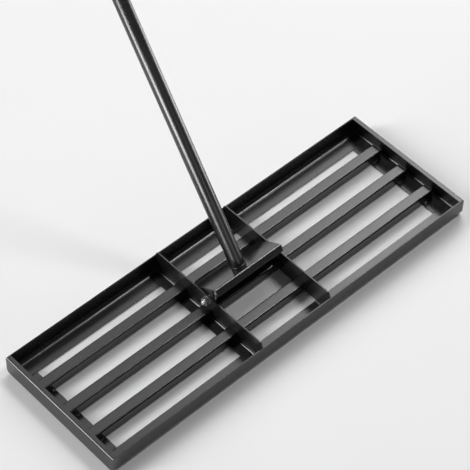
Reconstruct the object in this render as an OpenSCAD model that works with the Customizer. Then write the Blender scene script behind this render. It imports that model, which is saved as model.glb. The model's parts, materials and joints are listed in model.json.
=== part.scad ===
// Lawn leveling rake: a welded sheet-steel head, open between its slats, under a long tube handle
// that tilts on two bolts. Millimetres; X along the head, Y to the rear, Z up; the origin is on the
// ground, under the middle of the front rail's flat foot.

/* [Head] */
// length of the head from end to end
head_len = 762; // [640:1:920]
// depth of the head from front to rear
head_dep = 254; // [236:1:300]
// height of the front, rear and end rails
rail_h = 37; // [34:0.5:44]
// thickness of the sheet in rails and straps
sheet = 2; // [1.6:0.1:2.4]
// outside radius of the bend along the foot of the front and rear rails
rail_bend = 11; // [8:0.5:13]
// width of the front and rear rails' bottom flange
rail_flange = 32; // [26:1:36]
// width of the end rails' bottom flange
end_flange = 34; // [28:1:44]
// width of the lip along the top of the end rails
end_lip = 9; // [7:0.5:12]
// outside radius of the tight bends in end rails and straps
tight_bend = 3; // [2.6:0.1:4]

/* [Slats] */
// width and height of a slat
slat_w = 20; // [16:0.5:22]
// wall thickness of a slat
slat_wall = 2; // [1.5:0.1:2.4]
// spacing of the slats' centre lines
slat_pitch = 60; // [56:0.5:64]
// distance from the head's end to a slat's end
slat_inset = 14; // [11:0.5:18]

/* [Straps] */
// clear width between the two straps
strap_span = 145; // [120:1:200]
// height of a strap, standing on the rails' flanges
strap_h = 46; // [44:0.5:52]
// width of a strap's foot flange
strap_flange = 20; // [14:0.5:28]
// radius of a strap's upper corners
strap_corner = 9; // [5:0.5:13]

/* [Pivot] */
// thread size of the pivot bolts
bolt_d = 8; // [6:0.5:9]
// depth of the pivot axis below the straps' top edge
pivot_drop = 8; // [7.5:0.5:9]
// thickness of the washers on the pivot bolts
washer_t = 1.6; // [1:0.1:2]
// side play between an ear and the washer or bolt head next to it
side_play = 0.3; // [0.3:0.05:0.5]
// radial play of an ear's hole on the bolt
run_play = 0.06; // [0.03:0.01:0.09]
// radial play of a hole that a bolt only passes through
hole_play = 0.2; // [0.1:0.05:0.3]

/* [Saddle] */
// width of the saddle across its turned-down edges
saddle_w = 58; // [54:0.5:60]
// distance from the pivot axis to the saddle's top face
saddle_rise = 19.5; // [18.5:0.25:21]
// depth of the turned-down edges
saddle_skirt = 13; // [10:0.5:14]
// thickness of the saddle's sheet
saddle_t = 2.5; // [2:0.1:3]
// thickness of an ear
ear_t = 3; // [2.5:0.1:4]
// width of an ear under the saddle
ear_w = 40; // [32:0.5:44]
// radius of an ear's rounded foot round the bolt
ear_r = 12; // [9:0.5:13]

/* [Handle] */
// angle of the handle above the ground as drawn
handle_lean = 55.5; // [45:0.5:65]
// outside diameter of the handle tubes
tube_d = 25.4; // [24:0.1:28]
// wall thickness of the handle tubes
tube_wall = 1; // [0.8:0.05:1.4]
// length that each tube adds to the handle
tube_len = 570; // [540:1:640]
// length of the drawn-down end inside the next tube
spigot_len = 60; // [45:1:80]
// radial play of what slips into or over a handle tube
slip_play = 0.1; // [0.05:0.05:0.15]
// thread size of the bolts through the tube joints
joint_bolt_d = 6; // [5:0.5:8]

/* [Grip] */
// outside diameter of the grip
grip_d = 33; // [30:0.5:38]
// length of the grip
grip_len = 220; // [150:1:300]
// radius of the grip's rounded ends
grip_round = 2.5; // [1:0.25:3]
// thickness of the end cap's face
cap_t = 4; // [3.5:0.25:6]
// depth of the end cap's plug in the tube
plug_len = 24; // [15:1:40]

/* [Hidden] */
$fn = 96;
// half sizes of the head and the rails' faces
head_x = head_len / 2;
head_y = head_dep / 2;
inner_y = head_y - sheet;
rail_len = head_len - 2 * sheet;
// distance from the middle of the front rail's flat foot back to the head's middle
mid_y = head_y - (rail_bend + rail_flange) / 2;
// slats lie on the end rails' flanges
slat_z = sheet;
slat_len = head_len - 2 * slat_inset;
slat_round = slat_wall + 1;
// straps, their top edge and the rounded foot that clears the rails' bend
strap_in = strap_span / 2;
strap_out = strap_in + sheet;
strap_top = sheet + strap_h;
strap_foot = rail_bend - sheet + 1.5;
pivot_z = strap_top - pivot_drop;
// stack on a pivot bolt, from the strap inwards
ear_out = strap_in - washer_t - side_play;
ear_in = ear_out - ear_t;
head_face = ear_in - side_play;
// proportions of hexagon bolts and nuts, by thread size
hex_af = 1.625;
bolt_head_h = 0.66;
nut_h = 0.8;
washer_r = 1.0;
tip_out = 0.5;
tip_bevel = 0.12;
// saddle profile, with the pivot axis at zero and the handle upright
saddle_y = saddle_w / 2;
saddle_under = saddle_rise - saddle_t;
skirt_y = saddle_y - saddle_t;
skirt_z = saddle_rise - saddle_skirt;
// half width of an ear's flanks at the pivot axis
ear_waist = 0.875 * ear_r;
// handle tubes
tube_r = tube_d / 2;
bore_r = tube_r - tube_wall;
spigot_r = bore_r - slip_play;
neck = 3;
joint_1 = saddle_rise + tube_len;
joint_2 = joint_1 + tube_len;
tube_end = joint_2 + tube_len;
bolt_back = spigot_len / 2;
cap_round = 1.5;
cap_r = grip_d / 2 - 1;
// a length longer than any cut
far = 4000;
// allowance by which a cut runs past a face
over = 1;
coat = [0.07, 0.07, 0.075];
zinc = [0.72, 0.73, 0.75];
rubber = [0.1, 0.1, 0.1];

// angle section: wall up from the corner, flange out from it, one round bend between them
module angle_section(h, flange, bend) {
    translate([0, bend]) square([sheet, h - bend]);
    translate([bend, 0]) square([flange - bend, sheet]);
    intersection() {
        square(bend);
        translate([bend, bend]) difference() {
            circle(bend);
            circle(bend - sheet);
        }
    }
}

// square with round corners, centred
module round_square(w, r) {
    square([w - 2 * r, w], center = true);
    square([w, w - 2 * r], center = true);
    for (sx = [-1, 1], sy = [-1, 1])
        translate([sx * (w / 2 - r), sy * (w / 2 - r)]) circle(r);
}

// outline with four round corners: width w about zero, from z0 up to z1
module plate_outline(w, z0, z1, r_low, r_high) {
    translate([-w / 2, z0 + r_low]) square([w, z1 - z0 - r_low - r_high]);
    translate([-w / 2 + r_low, z0]) square([w - 2 * r_low, r_low]);
    translate([-w / 2 + r_high, z1 - r_high]) square([w - 2 * r_high, r_high]);
    for (s = [-1, 1]) {
        intersection() {
            translate([s * (w / 2 - r_low), z0 + r_low]) circle(r_low);
            translate([-w / 2, z0]) square([w, r_low]);
        }
        intersection() {
            translate([s * (w / 2 - r_high), z1 - r_high]) circle(r_high);
            translate([-w / 2, z1 - r_high]) square([w, r_high]);
        }
    }
}

// draws a Y-Z outline and runs it along X, centred
module along_x(len) {
    rotate([90, 0, 90]) linear_extrude(height = len, center = true) children();
}

// draws an X-Z outline and runs it along Y, centred
module along_y(len) {
    rotate([90, 0, 0]) linear_extrude(height = len, center = true) children();
}

// head's own frame: its middle at zero, on the ground
module in_head() {
    translate([0, mid_y, 0]) children();
}

// rail on the front edge, open ends closed by the end rails' walls
module rail() {
    translate([0, -head_y, 0]) along_x(rail_len) angle_section(rail_h, rail_flange, rail_bend);
}

module front_rail() {
    color(coat) in_head() rail();
}

module rear_rail() {
    color(coat) in_head() mirror([0, 1, 0]) rail();
}

// channel section of an end rail: foot flange, wall and top lip
module end_section() {
    intersection() {
        union() {
            angle_section(rail_h, end_flange, tight_bend);
            translate([0, rail_h]) mirror([0, 1]) angle_section(rail_h, end_lip, tight_bend);
        }
        plate_end();
    }
}

// keeps the channel's two outer corners round
module plate_end() {
    translate([tight_bend, 0]) square([end_flange, rail_h]);
    translate([0, tight_bend]) square([tight_bend, rail_h - 2 * tight_bend]);
    for (z = [tight_bend, rail_h - tight_bend])
        translate([tight_bend, z]) circle(tight_bend);
}

// end rail on the left: its wall caps the rails, its flange and lip stop short of them
module end_rail() {
    translate([-head_x, 0, 0]) difference() {
        intersection() {
            along_y(head_dep) end_section();
            along_x(far) end_outline();
        }
        for (s = [-1, 1]) {
            translate([sheet, s * head_y, -over])
                along_cut(rail_flange, rail_h - tight_bend + over);
            translate([sheet, s * head_y, -over])
                along_cut(sheet, rail_h + 2 * over);
        }
    }
}

// block that clears an end rail's inside over a given depth from the head's edge
module along_cut(dep, h) {
    translate([0, -dep, 0]) cube([end_flange, 2 * dep, h]);
}

// end wall as seen from the side: foot corners follow the rails' bend
module end_outline() {
    translate([-head_y, rail_bend]) square([head_dep, rail_h - rail_bend]);
    translate([-head_y + rail_bend, 0]) square([head_dep - 2 * rail_bend, rail_bend]);
    for (s = [-1, 1])
        translate([s * (head_y - rail_bend), rail_bend]) circle(rail_bend);
}

module left_end_rail() {
    color(coat) in_head() end_rail();
}

module right_end_rail() {
    color(coat) in_head() mirror([1, 0, 0]) end_rail();
}

// one slat: square tube across the head, at a number of pitches to the rear
module slat(pitches) {
    translate([0, pitches * slat_pitch, slat_z + slat_w / 2]) along_x(slat_len) difference() {
        round_square(slat_w, slat_round);
        round_square(slat_w - 2 * slat_wall, slat_round - slat_wall);
    }
}

module rear_slat() {
    color(coat) in_head() slat(1);
}

module middle_slat() {
    color(coat) in_head() slat(0);
}

module front_slat() {
    color(coat) in_head() slat(-1);
}

// strap on the right: angle cut to its side outline, notched over the slats, bored for the bolt
module strap() {
    difference() {
        intersection() {
            translate([strap_in, 0, sheet]) along_y(head_dep)
                angle_section(strap_h, strap_flange, tight_bend);
            along_x(far) plate_outline(2 * inner_y, sheet, strap_top, strap_foot, strap_corner);
        }
        for (n = [-1, 0, 1])
            translate([0, n * slat_pitch - slat_w / 2, 0]) cube([far, slat_w, slat_z + slat_w]);
        translate([0, 0, pivot_z]) rotate([0, 90, 0]) cylinder(r = bolt_d / 2 + hole_play, h = far);
    }
}

module left_strap() {
    color(coat) in_head() mirror([1, 0, 0]) strap();
}

module right_strap() {
    color(coat) in_head() strap();
}

// hexagon with both faces bevelled all round, standing on zero
module hex_block(d, h) {
    across = hex_af * d;
    corner = across / 2 / cos(30);
    bevel = (corner - across / 2) / 2;
    intersection() {
        cylinder(r = corner, h = h, $fn = 6);
        rotate_extrude() polygon([[0, 0], [corner - bevel, 0], [corner, bevel],
            [corner, h - bevel], [corner - bevel, h], [0, h]]);
    }
}

// hexagon bolt, head below zero and shank of a given length above it
module hex_bolt(d, shank) {
    bevel = tip_bevel * d;
    head_h = bolt_head_h * d;
    translate([0, 0, -head_h]) hex_block(d, head_h);
    rotate_extrude() polygon([[0, -head_h / 2], [d / 2, -head_h / 2], [d / 2, shank - bevel],
        [d / 2 - bevel, shank], [0, shank]]);
}

module hex_nut(d) {
    difference() {
        hex_block(d, nut_h * d);
        translate([0, 0, -over]) cylinder(r = d / 2, h = nut_h * d + 2 * over);
    }
}

module washer(d) {
    difference() {
        cylinder(r = washer_r * d, h = washer_t);
        translate([0, 0, -over]) cylinder(r = d / 2 + hole_play, h = washer_t + 2 * over);
    }
}

// places a part on both pivot axes, pointing outwards from a distance off the middle
module on_pivots(x) {
    in_head() for (s = [0, 1])
        mirror([s, 0, 0]) translate([x, 0, pivot_z]) rotate([0, 90, 0]) children();
}

module pivot_bolts() {
    shank = strap_out - head_face + washer_t + (nut_h + tip_out) * bolt_d;
    color(zinc) on_pivots(head_face) hex_bolt(bolt_d, shank);
}

module pivot_nuts() {
    color(zinc) on_pivots(strap_out + washer_t) hex_nut(bolt_d);
}

module outer_washers() {
    color(zinc) on_pivots(strap_out) washer(bolt_d);
}

module spacer_washers() {
    color(zinc) on_pivots(strap_in - washer_t) washer(bolt_d);
}

// handle's own frame: pivot axis at zero, handle upright, then leant to the rear
module in_handle() {
    in_head() translate([0, 0, pivot_z]) rotate([handle_lean - 90, 0, 0]) children();
}

// saddle in section: flat plate, round bends and turned-down skirts
module saddle_section() {
    translate([-skirt_y, saddle_under]) square([2 * skirt_y, saddle_t]);
    for (s = [-1, 1]) {
        intersection() {
            translate([s * skirt_y, saddle_under]) circle(saddle_t);
            translate([-saddle_y, saddle_under]) square([saddle_w, saddle_t]);
        }
        translate([s * (skirt_y + saddle_t / 2) - saddle_t / 2, skirt_z])
            square([saddle_t, saddle_skirt - saddle_t]);
    }
}

module saddle() {
    color(coat) in_handle() along_x(2 * ear_out) saddle_section();
}

// ear in section: widest under the saddle, tapering to a round foot
module ear_section() {
    difference() {
        union() {
            circle(ear_r);
            polygon([[-ear_w / 2, saddle_under], [-ear_waist, 0], [ear_waist, 0], [ear_w / 2, saddle_under]]);
        }
        circle(bolt_d / 2 + run_play);
    }
}

module ear() {
    in_handle() translate([(ear_in + ear_out) / 2, 0, 0]) along_x(ear_t) ear_section();
}

module left_ear() {
    color(coat) mirror([1, 0, 0]) ear();
}

module right_ear() {
    color(coat) ear();
}

// cross hole through a tube joint
module joint_hole(z) {
    translate([0, 0, z]) rotate([0, 90, 0])
        cylinder(r = joint_bolt_d / 2 + hole_play, h = 2 * tube_d, center = true);
}

// plain tube between two heights of the handle
module plain_tube(z0, z1) {
    translate([0, 0, z0]) difference() {
        cylinder(r = tube_r, h = z1 - z0);
        translate([0, 0, -over]) cylinder(r = bore_r, h = z1 - z0 + 2 * over);
    }
}

// tube whose lower end is drawn down to slide into the tube below
module necked_tube(z0, z1) {
    rotate_extrude() polygon([
        [spigot_r - tube_wall, z0 - spigot_len], [spigot_r, z0 - spigot_len],
        [spigot_r, z0], [tube_r, z0], [tube_r, z1], [bore_r, z1],
        [bore_r, z0 + 2 * neck], [spigot_r - tube_wall, z0 + neck]]);
}

// lower tube, standing on the saddle
module lower_tube() {
    color(coat) in_handle() difference() {
        plain_tube(saddle_rise, joint_1);
        joint_hole(joint_1 - bolt_back);
    }
}

module middle_tube() {
    color(coat) in_handle() difference() {
        necked_tube(joint_1, joint_2);
        joint_hole(joint_1 - bolt_back);
        joint_hole(joint_2 - bolt_back);
    }
}

module upper_tube() {
    color(coat) in_handle() difference() {
        necked_tube(joint_2, tube_end);
        joint_hole(joint_2 - bolt_back);
    }
}

module joint_bolts() {
    shank = tube_d + (nut_h + tip_out) * joint_bolt_d;
    color(zinc) in_handle() for (z = [joint_1, joint_2])
        translate([tube_r, 0, z - bolt_back]) rotate([0, -90, 0]) hex_bolt(joint_bolt_d, shank);
}

module joint_nuts() {
    color(zinc) in_handle() for (z = [joint_1, joint_2])
        translate([-tube_r, 0, z - bolt_back]) rotate([0, -90, 0]) hex_nut(joint_bolt_d);
}

// sleeve or disc of revolution with rounded outer edges
module turned(r_in, r_out, z0, z1, r) {
    rotate_extrude() {
        translate([r_in, z0]) square([r_out - r - r_in, z1 - z0]);
        translate([r_out - r, z0 + r]) square([r, z1 - z0 - 2 * r]);
        intersection() {
            for (z = [z0 + r, z1 - r])
                translate([r_out - r, z]) circle(r);
            translate([r_out - r, z0]) square([r, z1 - z0]);
        }
    }
}

module grip() {
    color(rubber) in_handle() turned(tube_r + slip_play, grip_d / 2, tube_end - grip_len,
        tube_end, grip_round);
}

module end_cap() {
    color(rubber) in_handle() union() {
        turned(0, cap_r, tube_end, tube_end + cap_t, cap_round);
        translate([0, 0, tube_end - plug_len]) cylinder(r = spigot_r, h = plug_len + cap_t / 2);
    }
}

front_rail();
rear_rail();
left_end_rail();
right_end_rail();
rear_slat();
middle_slat();
front_slat();
left_strap();
right_strap();
pivot_bolts();
pivot_nuts();
outer_washers();
spacer_washers();
saddle();
left_ear();
right_ear();
lower_tube();
middle_tube();
upper_tube();
joint_bolts();
joint_nuts();
grip();
end_cap();
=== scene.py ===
import json
import math

import bpy
from mathutils import Matrix, Vector


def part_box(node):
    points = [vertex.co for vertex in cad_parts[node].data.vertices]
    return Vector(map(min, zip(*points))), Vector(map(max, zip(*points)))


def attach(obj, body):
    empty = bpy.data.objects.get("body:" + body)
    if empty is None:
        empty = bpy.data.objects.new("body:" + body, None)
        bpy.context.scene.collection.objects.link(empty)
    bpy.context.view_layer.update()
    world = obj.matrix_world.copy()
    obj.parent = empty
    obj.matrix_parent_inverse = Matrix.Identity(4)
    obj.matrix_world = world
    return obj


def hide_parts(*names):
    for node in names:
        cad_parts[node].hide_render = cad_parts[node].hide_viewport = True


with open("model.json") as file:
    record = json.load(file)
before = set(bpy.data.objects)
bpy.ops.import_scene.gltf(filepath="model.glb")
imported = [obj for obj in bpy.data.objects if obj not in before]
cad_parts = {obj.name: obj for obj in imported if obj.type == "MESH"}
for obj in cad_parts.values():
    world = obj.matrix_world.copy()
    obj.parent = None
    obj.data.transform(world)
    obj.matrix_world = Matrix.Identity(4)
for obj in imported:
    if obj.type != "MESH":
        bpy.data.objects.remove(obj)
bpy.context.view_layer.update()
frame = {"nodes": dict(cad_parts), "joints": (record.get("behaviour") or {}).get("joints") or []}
nodes = frame["nodes"]


# Camera: above the head's front left corner, 3.4 m from the middle of the view.
# It looks along the azimuth and down by the elevation, rolled slightly about its own axis.
view_azimuth = math.radians(43.685)
view_elevation = math.radians(50.427)
view_roll = math.radians(1.259)
view_centre = Vector((0.07033, 0.19816, 0.0))
view_distance = 3.40942
focal_px = 2071.0
image_px = 470

ahead = Vector((math.cos(view_elevation) * math.sin(view_azimuth),
                math.cos(view_elevation) * math.cos(view_azimuth),
                -math.sin(view_elevation)))
level = Vector((math.cos(view_azimuth), -math.sin(view_azimuth), 0.0))
upright = level.cross(ahead)
right = math.cos(view_roll) * level + math.sin(view_roll) * upright
up = math.cos(view_roll) * upright - math.sin(view_roll) * level
camera = bpy.data.objects.new("camera", bpy.data.cameras.new("camera"))
camera.data.sensor_width = 36.0
camera.data.lens = focal_px * camera.data.sensor_width / image_px
camera.data.clip_end = 100.0
camera.matrix_world = (Matrix.Translation(view_centre - view_distance * ahead)
                       @ Matrix((right, up, -ahead)).transposed().to_4x4())
bpy.context.scene.collection.objects.link(camera)
bpy.context.scene.camera = camera


# Front and rear rails: sheet steel angles with a wide bend along the foot.
# Sheared edges are eased before coating, and the whole head is black powder coat, baked on,
# with a fine orange peel in it and a little less cover along the edges.
class Wire:
    """A socket in a node tree. Arithmetic on values adds Math nodes."""

    def __init__(self, tree, socket=None):
        self.tree = tree
        self.socket = socket

    def node(self, kind, settings, inputs, out=0):
        """Adds a node: its settings first, then the values or links of its sockets."""
        made = self.tree.nodes.new(kind)
        for name, value in settings.items():
            setattr(made, name, value)
        for name, value in inputs.items():
            if isinstance(value, Wire):
                self.tree.links.new(value.socket, made.inputs[name])
            else:
                made.inputs[name].default_value = value
        return Wire(self.tree, made.outputs[out] if made.outputs else None)

    def maths(self, operation, *values):
        """A Math node on one or two values."""
        return self.node("ShaderNodeMath", {"operation": operation}, dict(enumerate(values)))

    def __add__(self, other):
        return self.maths("ADD", self, other)

    __radd__ = __add__

    def __sub__(self, other):
        return self.maths("SUBTRACT", self, other)

    def __rsub__(self, other):
        return self.maths("SUBTRACT", other, self)

    def __mul__(self, other):
        return self.maths("MULTIPLY", self, other)

    __rmul__ = __mul__

    def __truediv__(self, other):
        return self.maths("DIVIDE", self, other)

    def clamped(self, low, high):
        """A share that rises from 0 at a low value to 1 at a high one."""
        return self.node("ShaderNodeMapRange", {"clamp": True},
                         {"Value": self, "From Min": low, "From Max": high})


def mixed(share, first, second):
    """Blend of two colours by a share from 0 to 1."""
    return share.node("ShaderNodeMix", {"data_type": "RGBA"},
                      {0: share, 6: first, 7: second}, out=2)


def finish(name):
    """An empty material and a wire into its node tree."""
    material = bpy.data.materials.new(name)
    material.use_nodes = True
    material.node_tree.nodes.clear()
    return material, Wire(material.node_tree)


def powder_coat(name, roughness, gloss):
    """Baked black powder coat: orange peel, soft gloss clouds, thin cover on edges, a few nibs."""
    black = (0.0075, 0.0075, 0.008, 1.0)
    worn = (0.045, 0.045, 0.047, 1.0)
    cloud_depth, peel_depth = 0.08, 0.05
    evened = roughness - (cloud_depth + peel_depth) / 2
    material, coat = finish(name)
    place = coat.node("ShaderNodeTexCoord", {}, {}, out="Object")
    peel = coat.node("ShaderNodeTexNoise", {}, {"Vector": place, "Scale": 620.0, "Detail": 2.0})
    flow = coat.node("ShaderNodeTexNoise", {}, {"Vector": place, "Scale": 85.0, "Detail": 1.0})
    cloud = coat.node("ShaderNodeTexNoise", {}, {"Vector": place, "Scale": 14.0, "Detail": 3.0})
    grains = coat.node("ShaderNodeTexVoronoi", {}, {"Vector": place, "Scale": 160.0},
                       out="Distance")
    nib = 1 - grains.clamped(0.05, 0.09)
    rounded = coat.node("ShaderNodeBevel", {"samples": 4}, {"Radius": 0.0009})
    facing = coat.node("ShaderNodeNewGeometry", {}, {}, out="Normal")
    alike = coat.node("ShaderNodeVectorMath", {"operation": "DOT_PRODUCT"},
                      {0: rounded, 1: facing}, out="Value")
    edge = (1 - alike).clamped(0.01, 0.2) * cloud.clamped(0.3, 0.75)
    height = peel * 0.6 + flow * 1.6 + nib * 0.8
    bump = coat.node("ShaderNodeBump", {},
                     {"Height": height, "Strength": 0.35, "Distance": 0.00006})
    shader = coat.node("ShaderNodeBsdfPrincipled", {}, {
        "Base Color": mixed(edge * 0.55 + nib * 0.2, black, worn),
        "Roughness": cloud.clamped(0.25, 0.75) * cloud_depth + peel * peel_depth + evened,
        "Specular IOR Level": gloss,
        "Normal": bump})
    coat.node("ShaderNodeOutputMaterial", {}, {"Surface": shader})
    return material


def ease_edges(name, width, material):
    """Rounds a solid's sheared edges as deburring does, and gives it its coat."""
    piece = nodes[name]
    piece.material_slots[0].material = material
    weld = piece.modifiers.new("joined", "WELD")
    weld.merge_threshold = 0.00001
    flat = piece.modifiers.new("flats", "DECIMATE")
    flat.decimate_type = "DISSOLVE"
    flat.angle_limit = math.radians(0.5)
    bevel = piece.modifiers.new("eased", "BEVEL")
    bevel.width = width
    bevel.segments = 2
    bevel.limit_method = "ANGLE"
    bevel.angle_limit = math.radians(40.0)
    shade = piece.modifiers.new("shaded", "WEIGHTED_NORMAL")
    shade.keep_sharp = False


head_coat = powder_coat("head_powder_coat", 0.24, 0.8)
for rail in ("front_rail", "rear_rail"):
    ease_edges(rail, 0.0004, head_coat)


# End rails: sheet steel channels that cap the head, their flange under the slats.
# Folded along two tight bends, with a lip along the top for stiffness.
for rail in ("left_end_rail", "right_end_rail"):
    ease_edges(rail, 0.0004, head_coat)


# Slats: three square steel tubes across the head that drag and part the sand.
# Cut square, laid on the end rails' flanges and welded there.
for slat in ("rear_slat", "middle_slat", "front_slat"):
    ease_edges(slat, 0.0003, head_coat)


# Straps: two upright sheet steel angles from rail to rail that carry the handle.
# Notched to drop over the slats, drilled for the pivot bolts, welded down.
for strap in ("left_strap", "right_strap"):
    ease_edges(strap, 0.0005, head_coat)


# Fold radii: the inside of the tight folds along the feet of the straps and end rails.
# The press brake's punch leaves them round, and the coat settles there in a smooth hollow.
def lofted(sections):
    """Points and faces of a closed body through sections that have the same number of points."""
    count = len(sections[0])
    points = [point for section in sections for point in section]
    faces = []
    for first in range(0, len(points) - count, count):
        for n in range(count):
            beside = (n + 1) % count
            faces.append([first + n, first + beside, first + count + beside, first + count + n])
    faces.append(list(range(count))[::-1])
    faces.append(list(range(len(points) - count, len(points))))
    return points, faces


def fold_hollow(x, z, away, near, far, radius):
    """A closed strip along Y with one hollow face, in a fold whose flange runs away along X."""
    steps = 10
    sunk = 0.0003
    section = [(x - away * sunk, z - sunk)]
    for n in range(steps + 1):
        angle = math.pi / 2 * n / steps
        section.append((x + away * radius * (1 - math.cos(angle)),
                        z + radius * (1 - math.sin(angle))))
    section = section[::away]
    return lofted([[(px, y, pz) for px, pz in section] for y in (near, far)])


sheet = 0.002
fold_radius = 0.003
strap_low, strap_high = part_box("right_strap")
end_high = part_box("right_end_rail")[1]
near, far = strap_low.y + sheet, strap_high.y - sheet
points, faces = [], []
for side in (-1, 1):
    for x, z, away in ((side * (strap_low.x + sheet), strap_low.z + sheet, side),
                       (side * (end_high.x - sheet), sheet, -side)):
        strip_points, strip_faces = fold_hollow(x, z, away, near, far, fold_radius)
        faces += [[len(points) + n for n in face] for face in strip_faces]
        points += strip_points
hollow_mesh = bpy.data.meshes.new("fold_hollows")
hollow_mesh.from_pydata(points, [], faces, shade_flat=False)
hollow_mesh.set_sharp_from_angle(angle=math.radians(30.0))
hollow_mesh.materials.append(head_coat)
hollows = bpy.data.objects.new("fold_hollows", hollow_mesh)
bpy.context.scene.collection.objects.link(hollows)
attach(hollows, "head")


# Head welds: short fillet beads where the slats, straps and rails meet.
# Laid by hand in small overlapping ripples and left as they are, before the head is coated.
def node_tree(name, inputs):
    """A Geometry Nodes tree with one mesh out, and a wire from each of its named inputs."""
    tree = bpy.data.node_groups.new(name, "GeometryNodeTree")
    tree.interface.new_socket("Mesh", in_out="OUTPUT", socket_type="NodeSocketGeometry")
    for label, kind in inputs.items():
        tree.interface.new_socket(label, in_out="INPUT", socket_type="NodeSocket" + kind)
    entry = tree.nodes.new("NodeGroupInput")
    return tree, {label: Wire(tree, entry.outputs[label]) for label in inputs}


def end_tree(mesh, material):
    """Ends a tree: smooth faces, real mesh instead of instances, then the finish."""
    smooth = mesh.node("GeometryNodeSetShadeSmooth", {}, {"Geometry": mesh})
    real = mesh.node("GeometryNodeRealizeInstances", {}, {"Geometry": smooth})
    coated = mesh.node("GeometryNodeSetMaterial", {}, {"Geometry": real, "Material": material})
    mesh.node("NodeGroupOutput", {}, {"Mesh": coated})


def weld_tree():
    """Beads along the edges of a mesh: rippled, wandering in width, rounded off at both ends."""
    tree, given = node_tree("weld_bead", {
        "Seams": "Geometry", "Bead Radius": "Float", "Ripple Pitch": "Float",
        "Ripple Depth": "Float", "Seed": "Int", "Coat": "Material"})
    seams, radius, pitch = given["Seams"], given["Bead Radius"], given["Ripple Pitch"]
    line = seams.node("GeometryNodeMeshToCurve", {}, {"Mesh": seams})
    line = seams.node("GeometryNodeResampleCurve", {"mode": "LENGTH"},
                      {"Curve": line, "Length": pitch / 4})
    along = seams.node("GeometryNodeSplineParameter", {}, {}, out="Length")
    whole = seams.node("GeometryNodeSplineLength", {}, {}, out="Length")
    ripple = seams.maths("ABSOLUTE", seams.maths("SINE", along * math.pi / pitch))
    wander = seams.node("ShaderNodeTexNoise", {"noise_dimensions": "4D"},
                        {"W": given["Seed"], "Scale": 150.0})
    to_end = seams.maths("MINIMUM", along, whole - along)
    rise = 1 - (to_end / radius).clamped(0.0, 1.0)
    dome = seams.maths("SQRT", 1.02 - rise * rise)
    width = radius * dome * (1 - given["Ripple Depth"] * (1 - ripple) + (wander - 0.5) * 0.5)
    round_bead = seams.node("GeometryNodeCurvePrimitiveCircle", {},
                            {"Resolution": 12, "Radius": 1.0})
    bead = seams.node("GeometryNodeCurveToMesh", {}, {
        "Curve": line, "Profile Curve": round_bead, "Scale": width, "Fill Caps": True})
    end_tree(bead, given["Coat"])
    return tree


def grow(name, tree, points, edges, sizes, turns=()):
    """Runs a tree once on points and edges, and keeps what it makes as a plain mesh."""
    start = bpy.data.meshes.new(name + "_start")
    start.from_pydata(points, edges, [])
    if turns:
        start.attributes.new("turn", "FLOAT_VECTOR", "POINT").data.foreach_set(
            "vector", [angle for turn in turns for angle in turn])
    piece = bpy.data.objects.new(name, start)
    bpy.context.scene.collection.objects.link(piece)
    maker = piece.modifiers.new("maker", "NODES")
    maker.node_group = tree
    for item in tree.interface.items_tree:
        if item.in_out == "INPUT" and item.name in sizes:
            maker[item.identifier] = sizes[item.name]
    current = bpy.context.evaluated_depsgraph_get()
    made = bpy.data.meshes.new_from_object(piece.evaluated_get(current), depsgraph=current)
    piece.modifiers.remove(maker)
    made.name = name
    piece.data = made
    return piece


def seams(lines):
    """Points and edges of a mesh that holds several open lines."""
    points, edges = [], []
    for line in lines:
        edges += [(len(points) + n, len(points) + n + 1) for n in range(len(line) - 1)]
        points += line
    return points, edges


# Beads lie a stand-off clear of the faces they join and end short of edges, bends and folds.
bead_radius = 0.0014
stand_off = 0.0004
end_gap = 0.001
rail_bend = 0.012
strap_fold = 0.005
slat_corner = 0.004
lip_fold = 0.003
flange_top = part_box("front_slat")[0].z
seat = flange_top + 2 * stand_off
end_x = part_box("right_end_rail")[0].x + end_gap
rail_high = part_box("front_rail")[1]
rear_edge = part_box("rear_rail")[0].y
lines = []
for side in (-1, 1):
    flange_x = side * end_x
    strap_x = side * (strap_low.x - stand_off)
    corner_x = side * (rail_high.x - stand_off)
    for slat in ("rear_slat", "middle_slat", "front_slat"):
        low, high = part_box(slat)
        front, rear = low.y - stand_off, high.y + stand_off
        slat_x = side * (high.x + stand_off)
        lines.append([(flange_x, front, seat), (slat_x, front, seat),
                      (slat_x, rear, seat), (flange_x, rear, seat)])
        for y in (front, rear):
            lines.append([(strap_x, y, flange_top + strap_fold),
                          (strap_x, y, high.z - slat_corner)])
    for wall, edge in ((strap_low.y, rail_high.y), (strap_high.y, rear_edge)):
        inwards = math.copysign(1.0, edge - wall)
        corner = wall + inwards * stand_off
        lines.append([(strap_x, wall + inwards * rail_bend, seat), (strap_x, edge, seat)])
        lines.append([(corner_x, corner, rail_bend), (corner_x, corner, rail_high.z - lip_fold)])
        lines.append([(flange_x, edge, flange_top - stand_off),
                      (side * (rail_high.x - end_gap), edge, flange_top - stand_off)])
weld = weld_tree()
weld_sizes = {"Bead Radius": bead_radius, "Ripple Pitch": 0.0017, "Ripple Depth": 0.07, "Seed": 3,
              "Coat": head_coat}
head_welds = grow("head_welds", weld, *seams(lines), weld_sizes)
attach(head_welds, "head")


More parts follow.
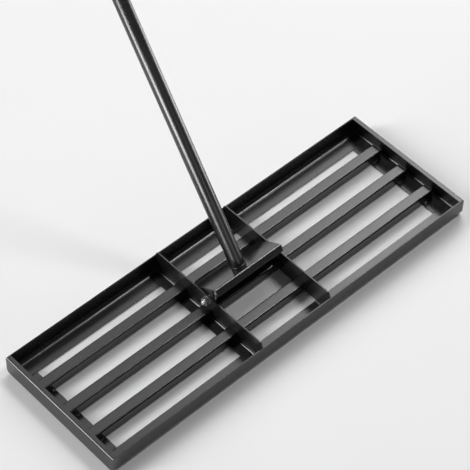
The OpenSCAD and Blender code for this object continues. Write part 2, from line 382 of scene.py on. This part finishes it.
# Pivot bolts: two hexagon bolts that carry the handle between the straps.
# Cold formed with a rolled thread, then plated with bright zinc like all the hardware here.
def zinc_plate(name, axis_point):
    """Zinc plate with fine turning rings about an axis along X, and a mottled passivation."""
    bright = (0.66, 0.67, 0.69, 1.0)
    dull = (0.47, 0.475, 0.47, 1.0)
    material, zinc = finish(name)
    place = zinc.node("ShaderNodeTexCoord", {}, {}, out="Object")
    about = zinc.node("ShaderNodeVectorMath", {"operation": "SUBTRACT"}, {0: place, 1: axis_point})
    across = zinc.node("ShaderNodeVectorMath", {"operation": "MULTIPLY"},
                       {0: about, 1: (0.0, 1.0, 1.0)})
    radius = zinc.node("ShaderNodeVectorMath", {"operation": "LENGTH"}, {0: across}, out="Value")
    rings = zinc.maths("SINE", radius * 26000.0)
    mottle = zinc.node("ShaderNodeTexNoise", {}, {"Vector": place, "Scale": 260.0, "Detail": 4.0})
    grain = zinc.node("ShaderNodeTexNoise", {}, {"Vector": place, "Scale": 2400.0, "Detail": 1.0})
    bump = zinc.node("ShaderNodeBump", {},
                     {"Height": rings * 0.5 + grain, "Strength": 0.3, "Distance": 0.00003})
    shader = zinc.node("ShaderNodeBsdfPrincipled", {}, {
        "Base Color": mixed(mottle.clamped(0.35, 0.7), bright, dull),
        "Metallic": 1.0,
        "Roughness": mottle * 0.2 + 0.2,
        "Normal": bump})
    zinc.node("ShaderNodeOutputMaterial", {}, {"Surface": shader})
    return material


def hexagon_bolt(name, size, pitch, shank, plain):
    """A bolt along Z from under its head: bevelled hexagon, plain shank, thread, bevelled tip."""
    steps = 48
    rows_per_turn = 8
    flat = 1.625 * size / 2
    corner = flat / math.cos(math.radians(30.0))
    bevel = (corner - flat) / 2
    head = 0.66 * size
    depth = 0.6 * pitch
    tip = 0.12 * size
    angles = [2 * math.pi * step / steps for step in range(steps)]
    hexagon = [flat / math.cos(angle % math.radians(60.0) - math.radians(30.0))
               for angle in angles]
    rows = []
    for z, limit in ((-head, corner - bevel), (-head + bevel / 2, corner - bevel / 2),
                     (-head + bevel, corner), (-bevel, corner),
                     (-bevel / 2, corner - bevel / 2), (0.0, corner - bevel)):
        rows.append((z, [min(limit, radius) for radius in hexagon]))
    thread_rows = math.ceil((shank - plain) / pitch * rows_per_turn)
    thread = [plain + (shank - plain) * n / thread_rows for n in range(1, thread_rows + 1)]
    for z in [0.0, plain] + thread:
        runs_in = min(1.0, max(0.0, (z - plain) / pitch))
        tip_radius = size / 2 - max(0.0, z - (shank - tip))
        crests = [abs(2 * ((z / pitch - step / steps) % 1.0) - 1) for step in range(steps)]
        rows.append((z, [min(size / 2 - depth * crest * runs_in, tip_radius) for crest in crests]))
    points, faces = lofted([[(radius * math.cos(angle), radius * math.sin(angle), z)
                             for radius, angle in zip(radii, angles)] for z, radii in rows])
    mesh = bpy.data.meshes.new(name)
    mesh.from_pydata(points, [], faces, shade_flat=False)
    mesh.set_sharp_from_angle(angle=math.radians(28.0))
    return bpy.data.objects.new(name, mesh)


def hardware_tree():
    """One part set on each point, turned by the point's own angles."""
    tree, given = node_tree("hardware_on_points", {
        "Points": "Geometry", "Part": "Object", "Plating": "Material"})
    points = given["Points"]
    part = points.node("GeometryNodeObjectInfo", {}, {"Object": given["Part"]}, out="Geometry")
    turn = points.node("GeometryNodeInputNamedAttribute", {"data_type": "FLOAT_VECTOR"},
                       {"Name": "turn"})
    placed = points.node("GeometryNodeInstanceOnPoints", {},
                         {"Points": points, "Instance": part, "Rotation": turn})
    real = points.node("GeometryNodeRealizeInstances", {}, {"Geometry": placed})
    plated = points.node("GeometryNodeSetMaterial", {},
                         {"Geometry": real, "Material": given["Plating"]})
    points.node("NodeGroupOutput", {}, {"Mesh": plated})
    return tree


pivot = Vector(frame["joints"][0]["pos_m"])
pivot_zinc = zinc_plate("pivot_zinc_plate", pivot)
pivot_size, pivot_pitch = 0.008, 0.00125
side_play = 0.0003
before_nut = 0.002
bolt_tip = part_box("pivot_bolts")[1].x
nut_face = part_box("outer_washers")[1].x
under_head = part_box("right_ear")[0].x - side_play
pivot_bolt = hexagon_bolt("pivot_bolt", pivot_size, pivot_pitch, bolt_tip - under_head,
                          nut_face - under_head - before_nut)
hardware = hardware_tree()
pivot_bolts = grow("threaded_pivot_bolts", hardware,
                   [(side * under_head, pivot.y, pivot.z) for side in (-1, 1)], [],
                   {"Part": pivot_bolt, "Plating": pivot_zinc},
                   turns=[(0.0, side * math.pi / 2, 0.0) for side in (-1, 1)])
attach(pivot_bolts, "head")
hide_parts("pivot_bolts")


# Pivot nuts and washers: a nut outside each strap, a washer under it and one inside.
# Plain stamped washers keep the ears off the straps; all bright zinc plate.
for part in ("pivot_nuts", "outer_washers", "spacer_washers"):
    nodes[part].material_slots[0].material = pivot_zinc


# Saddle and ears: a flat steel plate under the handle's foot with two ears on the bolts.
# Folded with turned-down skirts; the ears are welded inside it.
saddle_coat = powder_coat("saddle_powder_coat", 0.12, 1.0)
ease_edges("saddle", 0.0005, saddle_coat)
for ear in ("left_ear", "right_ear"):
    ease_edges(ear, 0.0004, head_coat)


# Handle: three thin steel tubes, each drawn down to slip into the one below.
# The lowest is welded to the saddle; coated after drawing, with a bolt through each joint.
handle_coat = powder_coat("handle_powder_coat", 0.28, 0.7)
for tube in ("lower_tube", "middle_tube", "upper_tube"):
    nodes[tube].material_slots[0].material = handle_coat

handle_angle = 55.5
lean = math.radians(handle_angle - 90.0)
in_handle = Matrix.Translation(pivot) @ Matrix.Rotation(lean, 4, "X")


def along_handle(name):
    """A node's lowest and highest point, measured from the pivot along the handle."""
    heights = [(in_handle.inverted() @ vertex.co).z for vertex in nodes[name].data.vertices]
    return min(heights), max(heights)


thin_bead = 0.001
ear_bead = 0.017
foot = along_handle("lower_tube")[0]
tube_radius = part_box("lower_tube")[1].x
ear_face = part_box("right_ear")[0].x
ear_top = along_handle("right_ear")[1]
ring = [math.radians(degrees) for degrees in range(0, 361, 6)]
lines = [[in_handle @ Vector((tube_radius * math.cos(angle), tube_radius * math.sin(angle),
                              foot + stand_off)) for angle in ring]]
for side in (-1, 1):
    lines.append([in_handle @ Vector((side * (ear_face - stand_off), y, ear_top - stand_off))
                  for y in (-ear_bead, ear_bead)])
handle_welds = grow("handle_welds", weld, *seams(lines),
                    dict(weld_sizes, **{"Bead Radius": thin_bead, "Seed": 8}))
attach(handle_welds, "handle")


# Tube joints: a hexagon bolt and nut through the middle of each overlap.
# Smaller than the pivot bolts, with the same rolled thread and zinc plate.
joint_size, joint_pitch = 0.006, 0.001
joint_places, joint_turns = [], []
for tube, inner in (("lower_tube", "middle_tube"), ("middle_tube", "upper_tube")):
    middle = (along_handle(tube)[1] + along_handle(inner)[0]) / 2
    joint_places.append(in_handle @ Vector((tube_radius, 0.0, middle)))
    joint_turns.append((in_handle.to_3x3() @ Matrix.Rotation(-math.pi / 2, 3, "Y")).to_euler())
joint_zinc = zinc_plate("joint_zinc_plate", joint_places[0])
joint_length = tube_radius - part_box("joint_bolts")[0].x
joint_bolt = hexagon_bolt("joint_bolt", joint_size, joint_pitch, joint_length,
                          2 * tube_radius - before_nut)
joint_bolts = grow("threaded_joint_bolts", hardware, joint_places, [],
                   {"Part": joint_bolt, "Plating": joint_zinc}, turns=joint_turns)
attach(joint_bolts, "handle")
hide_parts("joint_bolts")
nodes["joint_nuts"].material_slots[0].material = joint_zinc


# Grip: a moulded rubber sleeve over the top tube, ribbed between two plain collars.
# Slid on wet and held by its own squeeze; the end cap is the same black rubber.
def grip_rubber(name):
    """Moulded rubber: fine pebble from the mould, dull bloom in patches, polish from hands."""
    black = (0.018, 0.018, 0.018, 1.0)
    bloom = (0.05, 0.049, 0.047, 1.0)
    material, rubber = finish(name)
    place = rubber.node("ShaderNodeTexCoord", {}, {}, out="Object")
    pebble = rubber.node("ShaderNodeTexVoronoi", {}, {"Vector": place, "Scale": 900.0},
                         out="Distance")
    dust = rubber.node("ShaderNodeTexNoise", {}, {"Vector": place, "Scale": 40.0, "Detail": 5.0})
    rub = rubber.node("ShaderNodeTexNoise", {}, {"Vector": place, "Scale": 18.0, "Detail": 2.0})
    bump = rubber.node("ShaderNodeBump", {},
                       {"Height": pebble, "Strength": 0.4, "Distance": 0.0001})
    shader = rubber.node("ShaderNodeBsdfPrincipled", {}, {
        "Base Color": mixed(dust.clamped(0.45, 0.8) * 0.6, black, bloom),
        "Roughness": 0.72 - rub.clamped(0.4, 0.7) * 0.18,
        "Specular IOR Level": 0.4,
        "Normal": bump})
    rubber.node("ShaderNodeOutputMaterial", {}, {"Surface": shader})
    return material


def grip_tree():
    """A sleeve round a line: ribs between plain collars, and rounded ends."""
    tree, given = node_tree("ribbed_grip", {
        "Line": "Geometry", "Radius": "Float", "Rib Pitch": "Float", "Rib Depth": "Float",
        "Collar": "Float", "End Round": "Float", "Rubber": "Material"})
    line, pitch, end_round = given["Line"], given["Rib Pitch"], given["End Round"]
    path = line.node("GeometryNodeMeshToCurve", {}, {"Mesh": line})
    path = line.node("GeometryNodeResampleCurve", {"mode": "LENGTH"},
                     {"Curve": path, "Length": pitch / 9})
    along = line.node("GeometryNodeSplineParameter", {}, {}, out="Length")
    whole = line.node("GeometryNodeSplineLength", {}, {}, out="Length")
    to_end = line.maths("MINIMUM", along, whole - along)
    past_collar = to_end - given["Collar"]
    wave = line.maths("COSINE", past_collar * (2 * math.pi) / pitch)
    groove = (0.35 - wave).clamped(0.0, 1.1) * (past_collar * 2000).clamped(0.0, 1.0)
    rise = 1 - (to_end / end_round).clamped(0.0, 1.0)
    arc = line.maths("SQRT", 1.0001 - rise * rise)
    width = given["Radius"] - given["Rib Depth"] * groove - end_round * (1 - arc)
    round_sleeve = line.node("GeometryNodeCurvePrimitiveCircle", {},
                             {"Resolution": 48, "Radius": 1.0})
    sleeve = line.node("GeometryNodeCurveToMesh", {}, {
        "Curve": path, "Profile Curve": round_sleeve, "Scale": width, "Fill Caps": True})
    end_tree(sleeve, given["Rubber"])
    return tree


black_rubber = grip_rubber("grip_rubber")
grip_low, grip_high = along_handle("grip")
grip = grow("ribbed_grip", grip_tree(),
            [in_handle @ Vector((0.0, 0.0, z)) for z in (grip_low, grip_high)], [(0, 1)],
            {"Radius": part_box("grip")[1].x, "Rib Pitch": 0.005, "Rib Depth": 0.0011,
             "Collar": 0.016, "End Round": 0.0025, "Rubber": black_rubber})
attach(grip, "handle")
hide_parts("grip")
nodes["end_cap"].material_slots[0].material = black_rubber


# Floor and light: plain pale paper, flat under the rake and turned up into a low wall far away.
# Softboxes stand behind and to both sides; two low strips draw the streaks along the handle.
floor_z = -0.0005
floor_radius = 28.0
wall_top = 1.6
corners = 64
glow_starts, glow_full = 0.8, 2.0
angles = [2 * math.pi * n / corners for n in range(corners)]
rim = [(floor_radius * math.cos(angle), floor_radius * math.sin(angle)) for angle in angles]
floor_faces = [list(range(corners))]
for n in range(corners):
    beside = (n + 1) % corners
    floor_faces.append([n, beside, corners + beside, corners + n])
floor_mesh = bpy.data.meshes.new("floor")
floor_mesh.from_pydata([(x, y, z) for z in (floor_z, wall_top) for x, y in rim], [], floor_faces)
floor = bpy.data.objects.new("floor", floor_mesh)
bpy.context.scene.collection.objects.link(floor)
paper_material, paper = finish("floor_paper")
paper_place = paper.node("ShaderNodeTexCoord", {}, {}, out="Object")
paper_cloud = paper.node("ShaderNodeTexNoise", {}, {"Vector": paper_place, "Scale": 3.0})
paper_shader = paper.node("ShaderNodeBsdfPrincipled", {}, {
    "Base Color": mixed(paper_cloud, (0.93, 0.93, 0.93, 1.0), (0.96, 0.96, 0.96, 1.0)),
    "Roughness": 0.9})
paper_glow = paper.node("ShaderNodeEmission", {},
                        {"Color": (0.92, 0.92, 0.92, 1.0), "Strength": 1.0})
across_floor = paper.node("ShaderNodeVectorMath", {"operation": "MULTIPLY"},
                          {0: paper_place, 1: (1.0, 1.0, 0.0)})
from_rake = paper.node("ShaderNodeVectorMath", {"operation": "LENGTH"}, {0: across_floor},
                       out="Value")
seen = (paper.node("ShaderNodeLightPath", {}, {}, out="Is Camera Ray")
        + paper.node("ShaderNodeLightPath", {}, {}, out="Is Glossy Ray")
        + paper.node("ShaderNodeLightPath", {}, {}, out="Is Transmission Ray"))
far_off = from_rake.clamped(glow_starts, glow_full)
paper_far = paper.node("ShaderNodeMixShader", {},
                       {0: far_off * seen, 1: paper_shader, 2: paper_glow})
paper.node("ShaderNodeOutputMaterial", {}, {"Surface": paper_far})
floor_mesh.materials.append(paper_material)


def softbox(name, place, target, wide, high, radiance, spread=180.0):
    """An area lamp at a place, facing a target, at a radiance as seen in a mirror."""
    lamp = bpy.data.lights.new(name, "AREA")
    lamp.shape = "RECTANGLE"
    lamp.size = wide
    lamp.size_y = high
    lamp.spread = math.radians(spread)
    lamp.energy = radiance * math.pi * wide * high
    box = bpy.data.objects.new(name, lamp)
    box.visible_camera = False
    away = Vector(place) - Vector(target)
    box.matrix_world = Matrix.Translation(place) @ away.to_track_quat("Z", "Y").to_matrix().to_4x4()
    bpy.context.scene.collection.objects.link(box)


head_middle = (0.0, pivot.y, 0.0)
handle_middle = (0.0, 0.25, 0.42)
softbox("rear_softbox", (2.64, 2.87, 4.62), head_middle, 4.4, 2.4, 1.25)
softbox("right_softbox", (2.48, 1.31, 3.71), head_middle, 1.4, 1.5, 3.9)
softbox("left_rear_softbox", (-5.86, 3.75, 3.9), head_middle, 2.0, 4.4, 15.0)
softbox("right_rear_softbox", (5.6, 4.25, 3.8), head_middle, 6.0, 2.8, 3.8)
softbox("top_softbox", (1.76, -0.7, 3.5), head_middle, 0.3, 1.0, 34.0)
softbox("left_strip", (-0.95, -0.1, 0.13), handle_middle, 0.9, 0.26, 2.0, 50.0)
softbox("right_strip", (0.95, -0.1, 0.13), handle_middle, 0.9, 0.26, 0.8, 50.0)
softbox("front_card", (-0.1, -2.9, 0.7), handle_middle, 1.0, 0.6, 2.0)

world = bpy.data.worlds.new("room")
world.use_nodes = True
world.node_tree.nodes["Background"].inputs["Color"].default_value = (1.0, 1.0, 1.0, 1.0)
world.node_tree.nodes["Background"].inputs["Strength"].default_value = 0.1
bpy.context.scene.world = world
bpy.context.scene.view_settings.view_transform = "Standard"
